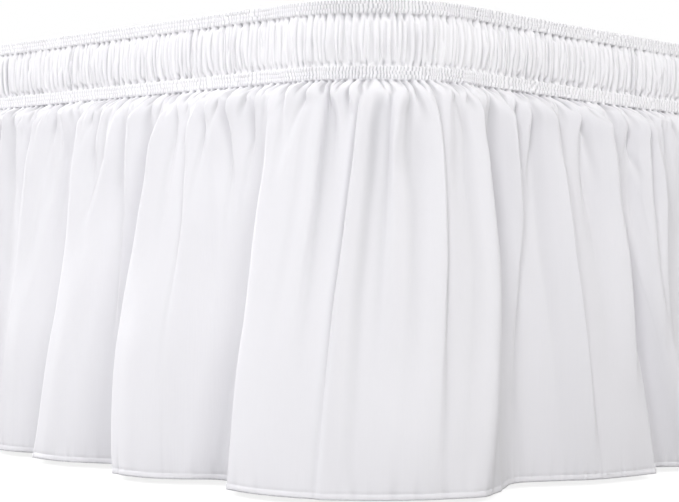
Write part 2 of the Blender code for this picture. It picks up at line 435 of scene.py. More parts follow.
# How often a ridge is steep on its usual side, and its strength at the bands.
STEEP_ALIKE = 0.85
RUCHE_AT_BANDS = 0.65


# Noise repeats itself after so many free values. Over a surface each next row of them is
# read so far along and has its own seed, so many after the last one.
NOISE_VALUES = 4096
NOISE_ROW_SHIFT, NOISE_ROW_SEEDS = 0.37, 7


def ease(share):
    """An easy curve from 0 to 1 as share goes from 0 to 1."""
    share = np.clip(share, 0.0, 1.0)
    return share * share * (3.0 - 2.0 * share)


def wander(places, step, seed):
    """Smooth noise from -1 to 1 along places, with one free value in each step."""
    free = np.random.default_rng(seed).uniform(-1.0, 1.0, NOISE_VALUES)
    cell = np.floor(places / step).astype(int)
    share = ease(places / step - cell)
    before, after = free[cell % NOISE_VALUES], free[(cell + 1) % NOISE_VALUES]
    return before * (1.0 - share) + after * share


def wander_over(across, down, step, drop, seed):
    """Smooth noise from -1 to 1 over a surface, with one free value in each step by drop."""
    row = np.floor(down / drop).astype(int)
    share = ease(down / drop - row)
    above = np.zeros(np.broadcast(across, down).shape)
    below = np.zeros_like(above)
    for level in range(int(row.min()), int(row.max()) + 2):
        places = across + NOISE_ROW_SHIFT * level
        noise = wander(places, step, seed + NOISE_ROW_SEEDS * level)
        above = np.where(row == level, noise, above)
        below = np.where(row + 1 == level, noise, below)
    return above * (1.0 - share) + below * share


def ring(along):
    """x, y, the outward normal's x and y, and the belt's sag at places along the heading."""
    left = (along + CORNER_RUN / 2) % PERIMETER
    centre_x = RING_WIDTH / 2 - RING_RADIUS
    centre_y = RING_LENGTH / 2 - RING_RADIUS
    # Each quarter is a corner and then the straight run after it.
    quarters = (
        (centre_x, -centre_y, -math.pi / 2, SIDE_RUN, LONG_SIDE_SAG),
        (centre_x, centre_y, 0.0, END_RUN, 0.0),
        (-centre_x, centre_y, math.pi / 2, SIDE_RUN, LONG_SIDE_SAG),
        (-centre_x, -centre_y, math.pi, END_RUN, 0.0),
    )
    found = [np.zeros_like(left) for _ in range(5)]
    start = 0.0
    for corner_x, corner_y, turned, run, sag in quarters:
        here = (left >= start) & (left <= start + CORNER_RUN + run)
        angle = turned + np.clip(left - start, 0.0, CORNER_RUN) / RING_RADIUS
        further = np.clip(left - start - CORNER_RUN, 0.0, run)
        out_x, out_y = np.cos(angle), np.sin(angle)
        values = (
            corner_x + RING_RADIUS * out_x - further * out_y,
            corner_y + RING_RADIUS * out_y + further * out_x,
            out_x,
            out_y,
            sag * (1.0 - np.abs(1.0 - 2.0 * further / run) ** SAG_POWER),
        )
        found = [np.where(here, value, before) for value, before in zip(values, found)]
        start += CORNER_RUN + run
    return found


def bends_round_the_bed():
    """The listed bends, then folds by rule until they meet the first one again."""
    bends = list(CORNER_BENDS)
    start = bends[-1].hem
    gap = PERIMETER + bends[0].hem - start
    dice = random.Random(FOLD_SEED)
    count = round(gap / MEAN_FOLD_WIDTH)
    widths = [1 + FOLD_WIDTH_SPREAD * dice.uniform(-1, 1) for _ in range(count)]
    scale = (gap - LAST_RISE) / sum(widths)
    at = start
    for number, width in enumerate(widths):
        width *= scale
        rest = 1 - dice.uniform(*AFTER_REST_SHARE)
        crest_from = at + rest * width
        crest_to = crest_from + dice.uniform(*CREST_SHARE) * width
        from_out = dice.uniform(*CREST_OUT)
        to_out = from_out + dice.uniform(-CREST_TILT, CREST_TILT)
        following = at + width
        trough_out = dice.uniform(*TROUGH_OUT)
        crown_at = (crest_from + crest_to) / 2
        crown_out = (from_out + to_out) / 2 + CROWN
        if number % 2:
            # Steep on its far side.
            top_trough = min(crest_to + STEEP_FLANK, following)
            bends.append(Bend(crest_from, crest_from, crest_from, from_out, CREST))
            bends.append(Bend(crown_at, crown_at, crown_at, crown_out, CREST))
            bends.append(Bend(crest_to, crest_to, crest_to, to_out, TIGHT))
            middle = (top_trough + following) / 2
            bends.append(Bend(top_trough, middle, following, trough_out, TROUGH))
        else:
            steep = max(crest_from - STEEP_FLANK, at)
            before = bends[-1]
            bends[-1] = Bend(steep, (steep + before.hem) / 2, before.hem, before.out, TROUGH)
            bends.append(Bend(crest_from, crest_from, crest_from, from_out, TIGHT))
            bends.append(Bend(crown_at, crown_at, crown_at, crown_out, CREST))
            bends.append(Bend(crest_to, crest_to, crest_to, to_out, CREST))
            bends.append(Bend(following, following, following, trough_out, TROUGH))
        at = following
    return bends


def moved(bends, by):
    """The same bends, so much further round the bed."""
    return [Bend(b.top + by, b.middle + by, b.hem + by, b.out, b.radius) for b in bends]


BENDS = bends_round_the_bed()
# Two bends more at each end, so that the folds run on past the place where they meet.
EXTRA = 2
LOOPED = moved(BENDS[-EXTRA:], -PERIMETER) + BENDS + moved(BENDS[:EXTRA], PERIMETER)
BEND_TOPS, BEND_MIDDLES, BEND_HEMS, BEND_OUTS, BEND_RADII = (np.array(c) for c in zip(*LOOPED))


def bend_places(level):
    """Each bend's place at a level down the drop, on one easy curve from top to hem."""
    return (
        BEND_TOPS * (1.0 - level) * (1.0 - 2.0 * level)
        + BEND_MIDDLES * 4.0 * level * (1.0 - level)
        + BEND_HEMS * level * (2.0 * level - 1.0)
    )


def rounded_bend(beside, radius):
    """How far a line that turns at 0, within radius of it, has left its first direction."""
    within = np.clip(beside + radius, 0.0, 2.0 * radius)
    return within * within / (4.0 * radius) + np.maximum(beside - radius, 0.0)


def main_folds(along, level):
    """How far the main folds stand out at places along the heading, at one level."""
    first = BEND_HEMS[EXTRA]
    places = bend_places(level)
    wrapped = first + (along - first) % PERIMETER
    gaps = np.diff(places)
    slopes = np.diff(BEND_OUTS) / gaps
    out = BEND_OUTS[0] + slopes[0] * (wrapped - places[0])
    for k in range(1, len(places) - 1):
        radius = min(BEND_RADII[k], SOFTEST_BEND * gaps[k - 1], SOFTEST_BEND * gaps[k])
        out = out + (slopes[k] - slopes[k - 1]) * rounded_bend(wrapped - places[k], radius)
    return out * math.sin(math.pi / 2 * level)


def ridges_round_the_bed():
    """The listed ridges of the photographed corner, then seeded ones round the bed."""
    ridges = list(RIDGES)
    dice = random.Random(RIDGE_SEED)
    at = RULED_FROM
    while at < PERIMETER - RULED_BEFORE:
        at += dice.uniform(*RIDGE_PITCH)
        drift = dice.uniform(-RIDGE_DRIFT, RIDGE_DRIFT)
        narrow, wide = dice.uniform(*NARROW_FLANK), dice.uniform(*WIDE_FLANK)
        flanks = (narrow, wide) if dice.random() < 0.5 else (wide, narrow)
        ends = dice.uniform(*RIDGE_ENDS)
        stand = dice.uniform(*RIDGE_STAND)
        ridges.append(Ridge(at, at + drift, at + FOOT_DRIFTS * drift, 0.0, ends, stand, *flanks))
    for number in range(len(CORNER_BENDS), len(BENDS)):
        bend = BENDS[number]
        if bend.radius == TIGHT:
            steep_left = BENDS[number - 1].radius == TROUGH
            flanks = BEND_RIDGE_FLANKS if steep_left else BEND_RIDGE_FLANKS[::-1]
            places = (bend.top, bend.middle, bend.middle)
            ridges.append(Ridge(*places, 0.0, BEND_RIDGE_ENDS, BEND_RIDGE_STAND, *flanks))
    return ridges


class Stretch:
    """A stretch of the cloth, as rows of points that run round the bed.

    along is each point's place and depth each row's, below the top edge. level is how far
    down the drop each row is. out is how far each point stands off the belt's line, slide
    how far it is pushed along it, and lift how far it is raised. The shade painted into the
    colour of the hollows' cloth is kept for each point too, from 0 to as much as 1.4.
    """

    def __init__(self, name, along, depth):
        self.name = name
        self.depth = depth[:, None]
        self.level = np.clip((self.depth - HEADING_HEIGHT) / DROP_HEIGHT, 0.0, 1.0)
        self.along = np.broadcast_to(along, (len(depth), along.shape[-1]))
        self.place = COUNTED_FROM + (self.along - COUNTED_FROM) % PERIMETER
        self.out = np.zeros(self.along.shape)
        self.slide = np.zeros(self.along.shape)
        self.lift = np.zeros(self.along.shape)
        # The shade painted into the colour of the hollows' cloth.
        self.painted_hollow_shade = np.zeros(self.along.shape)
        self.lowest, self.highest = self.along.min(axis=0), self.along.max(axis=0)

    def near(self, low, high, above, below):
        """The block of points between two places and two depths, each time round, with the
        block's places as they are counted the first time round."""
        depths = self.depth[:, 0]
        rows = slice(np.searchsorted(depths, above), np.searchsorted(depths, below))
        for turn in (-PERIMETER, 0.0, PERIMETER):
            first = np.searchsorted(self.highest, low + turn)
            last = np.searchsorted(self.lowest, high + turn)
            if rows.stop > rows.start and last > first:
                block = (rows, slice(first, last))
                yield block, self.along[block] - turn

    def points(self):
        spot = ring(self.along + self.slide)
        x = spot[0] + self.out * spot[2]
        y = spot[1] + self.out * spot[3]
        z = SKIRT_TOP - self.depth + self.lift - ring(self.along)[4] * (1.0 - self.level)
        return np.stack([x, y, z], axis=2)


def add_ridges(stretch):
    """Adds the lesser folds, and slides each one's crest over its steeper flank."""
    for ridge in ridges_round_the_bed():
        low = min(ridge.top, ridge.middle, ridge.foot) - RIDGE_REACH
        high = max(ridge.top, ridge.middle, ridge.foot) + RIDGE_REACH
        above = HEADING_HEIGHT + ridge.starts * DROP_HEIGHT
        below = HEADING_HEIGHT + ridge.ends * DROP_HEIGHT
        for block, places in stretch.near(low, high, above, below):
            down = (stretch.level[block[0]] - ridge.starts) / (ridge.ends - ridge.starts)
            levels = (0.0, RIDGE_MIDDLE, 1.0)
            centre = np.interp(down, levels, (ridge.top, ridge.middle, ridge.foot))
            beside = places - centre
            width = np.where(beside < 0.0, ridge.left, ridge.right)
            flank = width * (FLANK_AT_TOP + FLANK_GAINS * down)
            strength = np.sin(math.pi * np.clip(down, 0.0, 1.0) ** RIDGE_PEAK_POWER)
            strength = strength * ease((stretch.depth[block[0]] - HEADING_HEIGHT) / RIDGE_RISE)
            raised = ridge.stand * strength * (1.0 - ease(np.abs(beside) / flank))
            stretch.out[block] += raised
            side = -1.0 if ridge.left < ridge.right else 1.0
            stretch.slide[block] += side * OVERHANG * raised


def fineness(at):
    """How much wider ruching and small pleats are at a place than in the photographed corner."""
    return 1.0 if FRONT_FROM < at < FRONT_TO else ROUND_SCALE


def steep_side(at, dice):
    """Which way a pleat is steep: away from the photographed corner, or else either way."""
    either_way = dice.choice((-1.0, 1.0))
    return math.copysign(1.0, at) if FRONT_FROM < at < FRONT_TO else either_way


def add_pleats(stretch, line, direction, pleats):
    """Adds one kind of small pleat, which runs down (1) or up (-1) from a stitched line."""
    dice = random.Random(pleats.seed)
    hollow = pleats.stand[0] < 0.0

    def hollow_share(place, corner_and_walls):
        return np.interp(abs(place), CORNER_REACH, corner_and_walls) if hollow else 1.0

    at = COUNTED_FROM
    while at < COUNTED_FROM + PERIMETER:
        scale = fineness(at)
        at += scale * hollow_share(at, HOLLOW_SPACING) * dice.uniform(*pleats.pitch)
        shade = hollow_share(at, HOLLOW_PAINTED_SHADE)
        stand = hollow_share(at, HOLLOW_DEPTH) * dice.uniform(*pleats.stand)
        half = scale * hollow_share(at, HOLLOW_WIDTH) * dice.uniform(*pleats.half)
        spread = dice.uniform(*pleats.spread)
        lean = dice.uniform(-pleats.lean, pleats.lean)
        reach = dice.uniform(*pleats.reach)
        steep = steep_side(at, dice)
        wide = 2.0 * SOFT_FLANK * (half + max(spread, 0.0) * reach) + abs(lean) * reach
        above, below = sorted((line, line + direction * reach))
        for block, places in stretch.near(at - wide, at + wide, above, below):
            away = direction * (stretch.depth[block[0]] - line)
            beside = (places - at - lean * away) * steep
            flank = 2.0 * np.maximum(half + spread * away, NARROWEST_HALF)
            if not hollow:
                flank = flank * np.where(beside < 0.0, SOFT_FLANK, 1.0)
            shape = 1.0 - ease(np.abs(beside) / flank)
            fade = 1.0 - ease(away / reach)
            risen = ease((away + RISEN_AT_LINE * pleats.rise) / pleats.rise)
            strength = risen * fade * shape
            raised = stand * strength
            stretch.out[block] += raised
            # A hollow's cloth gets painted shade, deepest at its middle.
            if hollow:
                stretch.painted_hollow_shade[block] = np.maximum(stretch.painted_hollow_shade[block], shade * strength)
            else:
                stretch.slide[block] += OVERHANG * steep * raised


RIB_KNOTS = (COUNTED_FROM, -CLOSE_RIBS, CLOSE_RIBS, COUNTED_FROM + PERIMETER)
RIB_STEPS = np.diff(RIB_KNOTS) / RIB_PITCH
RIB_COUNTS = np.concatenate([[0.0], np.cumsum(RIB_STEPS)])


def ribs(place, seed, lean):
    """Round ribs with narrow gaps between them, from 0 in a gap to 1, spaced unevenly."""
    turns = np.interp(place, RIB_KNOTS, RIB_COUNTS)
    for number, (amount, step) in enumerate(SPACING_VARIES):
        turns = turns + amount * wander(place, step, seed + number)
    return np.abs(np.cos(math.pi * (turns + lean))) ** RIB_FULLNESS


class Band(NamedTuple):
    """A shirred band: its edges, the seed of its ribs, and how they lean in each of its rows."""

    top: float
    bottom: float
    seed: int
    leans: tuple


UPPER_BAND = Band(0.0, TOP_BAND, 3, (40.0, -25.0, 35.0))
LOWER_BAND = Band(RUCHE_END, HEADING_HEIGHT, 13, (45.0, -30.0, 40.0))


def rib_relief(stretch, band):
    """How far a band stands out in rows of fine ribs; past its edges, as it is there."""
    rows = len(band.leans)
    tall = (band.bottom - band.top) / rows
    down = np.clip(stretch.depth, band.top, band.bottom) - band.top
    row = np.clip((down / tall).astype(int), 0, rows - 1)
    (lean_by, lean_step), (shift_by, shift_step) = LEAN_VARIES, SHIFT_VARIES
    uneven = 1.0 + lean_by * wander(stretch.place, lean_step, band.seed + 4)
    lean = np.array(band.leans)[row] * (down - tall * (row + 0.5)) * uneven
    shifted = wander(stretch.place + SHIFTS_APART * row, shift_step, band.seed + 6)
    lean = lean + shift_by * shifted * (row > 0)
    puff = np.abs(np.sin(math.pi * down / tall)) ** PUFF_POWER
    depth = np.interp(np.abs(stretch.place), RIB_DEPTH_AT, RIB_DEPTH)
    depth_by, depth_step = DEPTH_VARIES
    depth = depth * (MEAN_DEPTH + depth_by * wander(stretch.place, depth_step, band.seed + 2))
    shape = ribs(stretch.place, band.seed, lean) - RIB_MEAN
    puffed = RIBS_AT_STITCHES + (1.0 - RIBS_AT_STITCHES) * puff
    return BAND_OUT + PUFF_OUT * puff + depth * puffed * shape


def pinch(stretch, line, band):
    """Draws the cloth in to the ribs of the band that starts or ends at a line."""
    share = np.exp(-(((stretch.depth - line) / PINCH_REACH) ** 2))
    stretch.out += share * (rib_relief(stretch, band) - stretch.out)
    stretch.slide -= share * stretch.slide


def add_ruching(stretch, ruching):
    """Adds one kind of upright ridge to the ruched stretch."""
    tall = RUCHE_END - TOP_BAND
    down = (stretch.depth - TOP_BAND) / tall
    dice = random.Random(ruching.seed)
    at = COUNTED_FROM
    while at < COUNTED_FROM + PERIMETER:
        scale = fineness(at)
        spacing = scale * np.interp(abs(at), CORNER_REACH, CORNER_SPACING)
        at += spacing * dice.uniform(*ruching.pitch)
        stand = np.interp(abs(at), CORNER_REACH, CORNER_FLATNESS) * dice.uniform(*ruching.stand)
        steep_half = scale * dice.uniform(*ruching.steep_half)
        soft_half = scale * dice.uniform(*ruching.soft_half)
        tilt = dice.uniform(-RUCHE_TILT, RUCHE_TILT)
        wave = dice.uniform(-RUCHE_WAVE, RUCHE_WAVE)
        waves = dice.uniform(*RUCHE_HALF_WAVES)
        phase = dice.uniform(0.0, 2 * math.pi)
        begin, finish = -RUCHE_FADE, 1.0 + RUCHE_FADE
        if dice.random() < ruching.share_cut_short:
            begin = dice.uniform(*CUT_BEGINS)
        elif dice.random() < ENDS_EARLY:
            finish = dice.uniform(*CUT_FINISHES)
        steep = steep_side(at, dice) * (1.0 if dice.random() < STEEP_ALIKE else -1.0)
        for block, places in stretch.near(at - RUCHE_REACH, at + RUCHE_REACH, 0.0, SKIRT_TOP):
            here = down[block[0]]
            centre = at + tilt * (here - 0.5) + wave * np.sin(waves * math.pi * here + phase)
            beside = (places - centre) * steep
            shape = 1.0 - ease(np.abs(beside) / np.where(beside < 0.0, soft_half, steep_half))
            strength = ease((here - begin) / RUCHE_FADE) * ease((finish - here) / RUCHE_FADE)
            fuller = (1.0 - RUCHE_AT_BANDS) * np.sin(math.pi * np.clip(here, 0.0, 1.0))
            strength = strength * (RUCHE_AT_BANDS + fuller)
            raised = stand * strength * shape
            stretch.out[block] += raised
            stretch.slide[block] += RUCHE_OVERHANG * steep * raised


def ruche_belt(stretch):
    """The belly, ridges and hollows of the ruched stretch between the two bands."""
    inside = np.clip((stretch.depth - TOP_BAND) / (RUCHE_END - TOP_BAND), 0.0, 1.0)
    stretch.out += BELLY_OUT * np.sin(math.pi * inside) ** BELLY_POWER
    waves = wander_over(stretch.place, stretch.depth, *BELLY_WAVE_STEPS, BELLY_SEED)
    stretch.out += BELLY_WAVES * waves * np.sin(math.pi * inside)
    for ruching in RUCHING:
        add_ruching(stretch, ruching)
    add_pleats(stretch, TOP_BAND, 1.0, UPPER_HOLLOWS)
    add_pleats(stretch, RUCHE_END, -1.0, LOWER_HOLLOWS)
    stretch.out = np.maximum(stretch.out, DEEPEST)
    pinch(stretch, TOP_BAND, UPPER_BAND)
    pinch(stretch, RUCHE_END, LOWER_BAND)


def hang_folds(stretch):
    """The drop: its main folds, lesser folds, small pleats and soft unevenness."""
    below = stretch.depth - HEADING_HEIGHT
    for row, level in enumerate(stretch.level[:, 0]):
        stretch.out[row] += main_folds(stretch.along[row], level)
    stretch.out += BULGE_OUT * ease(below / BULGE_RISE) * np.exp(-below / BULGE_FADES)
    for pleats in (FIRST_PLEATS, LONGER_PLEATS, LONGEST_PLEATS, GATHER_HOLLOWS):
        add_pleats(stretch, HEADING_HEIGHT, 1.0, pleats)
    add_ridges(stretch)
    soft = wander_over(stretch.place, below, *SOFT_STEPS, SOFT_SEED)
    stretch.out += SOFT_OUT * soft * ease(below / SOFT_RISE)
    stretch.out = np.maximum(stretch.out, DEEPEST)
    pinch(stretch, HEADING_HEIGHT, LOWER_BAND)


def stitch_hem(stretch):
    """The hem's stitches draw the cloth in a little, and the cloth puckers round them."""
    above_edge = SKIRT_TOP - HEM_HEIGHT - stretch.depth
    groove = np.exp(-(((above_edge - HEM_STITCH) / GROOVE_WIDTH) ** 2))
    fold = 1.0 - ease((above_edge - HEM_STITCH) / HEM_FOLD_EDGE)
    stretch.out += HEM_FOLD_OUT * fold - GROOVE_DEPTH * groove
    fading = np.exp(-np.abs(above_edge - HEM_STITCH) / PUCKER_REACH)
    puckers = sum(
        share * wander(stretch.place, step, PUCKER_SEED + number)
        for number, (share, step) in enumerate(PUCKERS)
    )
    stretch.out += PUCKER_OUT * puckers * fading


def plan_normals(points):
    """The outward normal in plan at each point of rows that run round the bed."""
    ahead = np.gradient(points, axis=1)
    length = np.hypot(ahead[..., 0], ahead[..., 1])
    flat = np.zeros(length.shape)
    return np.stack([ahead[..., 1] / length, -ahead[..., 0] / length, flat], axis=2)


def turned_in(points, outward, edge, end):
    """Two rows that turn the cloth in behind its edge row, and run back behind its end row."""
    return [points[edge] - CLOTH * outward[edge], points[end] - CLOTH * outward[end]]


def painted_shade_share(stretch, kind):
    """Each point's share of painted shade, from 0 to as much as 1.4: more where it lies
    behind the cloth on both sides of it, and in the hollows.
    """
    beside_within, fully_at = PAINTED_SHADE_DEPTHS[kind]
    rows, columns = stretch.out.shape
    step = float(stretch.along[0, -1] - stretch.along[0, 0]) / (columns - 1)
    reach = max(1, round(beside_within / step))
    padded = np.pad(stretch.out, ((0, 0), (reach + 1, reach)), mode="edge")
    total = np.cumsum(padded, axis=1)
    beside = (total[:, 2 * reach + 1 :] - total[:, : -2 * reach - 1]) / (2 * reach + 1)
    painted_shade = np.clip((beside - stretch.out) / fully_at, 0.0, 1.0)
    # In the drop the painted shade fades with the depth below the gather line.
    if kind == "drop":
        fading = np.exp(-(stretch.depth - HEADING_HEIGHT) / SHADE_FADES)
        painted_shade = painted_shade * (OPEN_SHADE + (1.0 - OPEN_SHADE) * fading)
    return np.maximum(painted_shade, stretch.painted_hollow_shade)


def grid_object(name, points, across, depth, painted_shade, finish):
    """A smooth mesh object of a grid of points, with its places in the cloth as a UV map, and
    each point's share of the shade painted into its colour."""
    rows, columns = points.shape[:2]
    corner = (np.arange(rows - 1)[:, None] * columns + np.arange(columns - 1)[None, :]).ravel()
    faces = np.stack([corner, corner + columns, corner + columns + 1, corner + 1], axis=1)
    mesh = bpy.data.meshes.new(name)
    mesh.from_pydata(points.reshape(-1, 3), (), faces)
    flat = np.stack(np.broadcast_arrays(across, depth), axis=2).reshape(-1, 2)
    layer = mesh.uv_layers.new(name="cloth_places")
    layer.data.foreach_set("uv", flat[faces.ravel()].astype(np.float32).ravel())
    # Each point's share of painted shade, by which the cloth's material darkens its colour.
    shade_layer = mesh.attributes.new(name="painted_shade_share", type="FLOAT", domain="POINT")
    shade_layer.data.foreach_set("value", painted_shade.astype(np.float32).ravel())
    mesh.shade_smooth()
    mesh.materials.append(finish)
    piece = bpy.data.objects.new(name, mesh)
    bpy.context.scene.collection.objects.link(piece)
    return piece


def stretch_object(stretch, kind, finish):
    """The object of a stretch whose columns are straight."""
    painted_shade = painted_shade_share(stretch, kind)
    places = stretch.along[:1]
    return grid_object(stretch.name, stretch.points(), places, stretch.depth, painted_shade, finish)


def lengths_along(row):
    """How far along the cloth each point of a row is from the first one."""
    steps = np.linalg.norm(np.diff(row, axis=0), axis=1)
    return np.concatenate([[0.0], np.cumsum(steps)])


class Nodes:
    """A node tree that is added to node by node; its values combine as Python numbers do."""

    def __init__(self, tree):
        self.tree = tree

    def node(self, kind, settings=None, inputs=None, output=0):
        made = self.tree.nodes.new(kind)
        for setting, value in (settings or {}).items():
            setattr(made, setting, value)
        for socket, value in (inputs or {}).items():
            self.feed(made.inputs[socket], value)
        return Value(self, made.outputs[output])

    def feed(self, socket, value):
        if isinstance(value, Value):
            self.tree.links.new(value.socket, socket)
        else:
            socket.default_value = value


class Finish(Nodes):
    """A material, with its nodes; constants are its shader's sockets, with _ for a space."""

    def __init__(self, name, roughness, **constants):
        self.material = bpy.data.materials.new(name)
        self.material.use_nodes = True
        super().__init__(self.material.node_tree)
        self.shader = self.tree.nodes["Principled BSDF"]
        self.shader.inputs["Roughness"].default_value = roughness
        for socket, value in constants.items():
            self.shader.inputs[socket.replace("_", " ")].default_value = value

    def set(self, socket, value):
        self.feed(self.shader.inputs[socket], value)


class Value:
    """A node's output, which the operators below join to others through Math nodes."""

    def __init__(self, nodes, socket):
        self.nodes = nodes
        self.socket = socket

    def joined(self, operation, other):
        settings = {"operation": operation}
        return self.nodes.node("ShaderNodeMath", settings, {0: self, 1: other})

    def __add__(self, other):
        return self.joined("ADD", other)

    __radd__ = __add__

    def __mul__(self, other):
        return self.joined("MULTIPLY", other)

    __rmul__ = __mul__


def stretched_noise(finish, scale, detail):
    """Noise on the object's own places, scale being its cells a metre along X, Y and Z."""
    places = finish.node("ShaderNodeTexCoord", output="Object")
    stretched = finish.node(
        "ShaderNodeVectorMath", {"operation": "MULTIPLY"}, {0: places, 1: scale}
    )
    return finish.node(
        "ShaderNodeTexNoise", None, {"Vector": stretched, "Scale": 1.0, "Detail": detail}
    )


def mixed_colour(finish, share, low, high):
    """A colour between two others, each a value or a red, green and blue, by share."""
    low, high = (end if isinstance(end, Value) else (*end, 1.0) for end in (low, high))
    return finish.node("ShaderNodeMix", {"data_type": "RGBA"}, {0: share, 6: low, 7: high}, 2)


def roughen(finish, height, strength, distance):
    """Feeds a fine bump to a finish, by a value that is its height."""
    settings = {"Strength": strength, "Distance": distance, "Height": height}
    finish.set("Normal", finish.node("ShaderNodeBump", None, settings))


def brushed_microfibre():
    """The skirt's cloth: upright brushed streaks, and painted shade in its creases, gaps and
    hollows.
    """
    finish = Finish("brushed_microfibre", 0.70, Sheen_Weight=0.30, Sheen_Roughness=0.45)
    streaks = stretched_noise(finish, (620.0, 620.0, 9.0), 3.0)
    clouds = stretched_noise(finish, (9.0, 9.0, 5.0), 2.0)
    share = streaks * 0.6 + clouds * 0.4
    # Painted light: the belt's colour is painted paler, for the white base that backs it, and the
    # thin drop's darker, for the dark under the bed behind it.
    places = finish.node("ShaderNodeUVMap", {"uv_map": "cloth_places"})
    depth = finish.node("ShaderNodeSeparateXYZ", None, {"Vector": places}, 1)
    above, below = BELT_FADES
    ends = {"From Min": HEADING_HEIGHT - above, "From Max": HEADING_HEIGHT + below}
    below_belt = finish.node(
        "ShaderNodeMapRange", {"interpolation_type": "SMOOTHSTEP"}, {"Value": depth, **ends}
    )
    belt = mixed_colour(finish, share, (0.862, 0.856, 0.884), (0.886, 0.880, 0.907))
    drop = mixed_colour(finish, share, (0.738, 0.732, 0.764), (0.768, 0.762, 0.794))
    open_cloth = mixed_colour(finish, below_belt, belt, drop)
    # Painted shade: the colour is darkened toward dark grey by each point's share of shade, for
    # the creases, gaps and hollows where less light gets in.
    painted_shade = finish.node("ShaderNodeAttribute", {"attribute_name": "painted_shade_share"}, None, 2)
    shaded = mixed_colour(finish, PAINTED_SHADE_STRENGTH * painted_shade, open_cloth, (0.30, 0.30, 0.32))
    finish.set("Base Color", shaded)
    finish.set("Roughness", 0.62 + 0.16 * streaks)
    roughen(finish, streaks, 0.25, 0.0004)
    return finish.material


def woven_elastic():
    finish = Finish("woven_elastic", 0.80)
    weave = stretched_noise(finish, (900.0, 900.0, 900.0), 1.0)
    finish.set("Base Color", mixed_colour(finish, weave, (0.74, 0.74, 0.76), (0.86, 0.86, 0.88)))
    roughen(finish, weave, 0.6, 0.0005)
    return finish.material


def base_ticking():
    finish = Finish("base_ticking", 0.85, Sheen_Weight=0.15)
    weave = stretched_noise(finish, (420.0, 420.0, 420.0), 2.0)
    finish.set("Base Color", mixed_colour(finish, weave, (0.70, 0.69, 0.68), (0.80, 0.79, 0.78)))
    roughen(finish, weave, 0.5, 0.0008)
    return finish.material


def turned_beech():
    finish = Finish("turned_beech", 0.45, Coat_Weight=0.2)
    grain = stretched_noise(finish, (160.0, 160.0, 7.0), 4.0)
    finish.set("Base Color", mixed_colour(finish, grain, (0.46, 0.29, 0.16), (0.66, 0.46, 0.28)))
    finish.set("Roughness", 0.38 + 0.2 * grain)
    return finish.material


def dress(node, material):
    """Gives a carried-over CAD node its finish."""
    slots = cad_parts[node].data.materials
    slots.clear()
    slots.append(material)


def spaced(start, stop, step):
    return np.linspace(start, stop, max(2, round((stop - start) / step) + 1))


def drop_depths(first, last, every):
    """Depths of the drop's rows between two depths below the gather line, close together at
    the top, with the hem's own rows at its end; every keeps each so many of them."""
    below = [first]
    while below[-1] < last - LEAST_LAST_ROW * ROW_STEPS[1][-1]:
        below.append(below[-1] + float(np.interp(below[-1], *ROW_STEPS)))
    if last < DROP_HEIGHT - HEM_ROWS[0]:
        return HEADING_HEIGHT + np.array(below[:-1:every] + [last])
    kept = [depth for depth in below[::every] if depth < DROP_HEIGHT - HEM_ROWS[0] - HEM_ROOM]
    return HEADING_HEIGHT + np.array(kept + [DROP_HEIGHT - height for height in HEM_ROWS])


def drop_columns(start, stop, step):
    """Places at the hem of the drop's columns, which follow the folds' bends down the drop."""
    widest = np.maximum(np.diff(BEND_TOPS), np.maximum(np.diff(BEND_MIDDLES), np.diff(BEND_HEMS)))
    places = [start]
    for left, right, width in zip(BEND_HEMS[:-1], BEND_HEMS[1:], widest):
        between = spaced(left, right, step * (right - left) / width)
        places += [place for place in between[:-1] if start < place < stop]
    return np.array(places + [stop])


def make_drop(name, start, stop, step, rows, cloth):
    """A stretch of the hanging part, and how far along the cloth each of its columns is. rows
    holds its first and last depth below the gather line, and which share of its rows is kept:
    each one, or each second one."""
    hem_places = drop_columns(start, stop, step)
    depth = drop_depths(*rows)
    levels = (depth - HEADING_HEIGHT) / DROP_HEIGHT
    along = np.stack([np.interp(hem_places, BEND_HEMS, bend_places(level)) for level in levels])
    stretch = Stretch(name, along, depth)
    hang_folds(stretch)
    stitch_hem(stretch)
    points = stretch.points()
    painted_shade = painted_shade_share(stretch, "drop")
    across = lengths_along(points[-1])
    if rows[1] == DROP_HEIGHT:
        inner = turned_in(points, plan_normals(points), -1, HEM_TURNED_TO)
        points = np.concatenate([points, inner])
        depth = np.concatenate([depth, depth[[-1, HEM_TURNED_TO]]])
        painted_shade = np.concatenate([painted_shade, painted_shade[[-1, HEM_TURNED_TO]]])
    return grid_object(name, points, across[None, :], depth[:, None], painted_shade, cloth), across


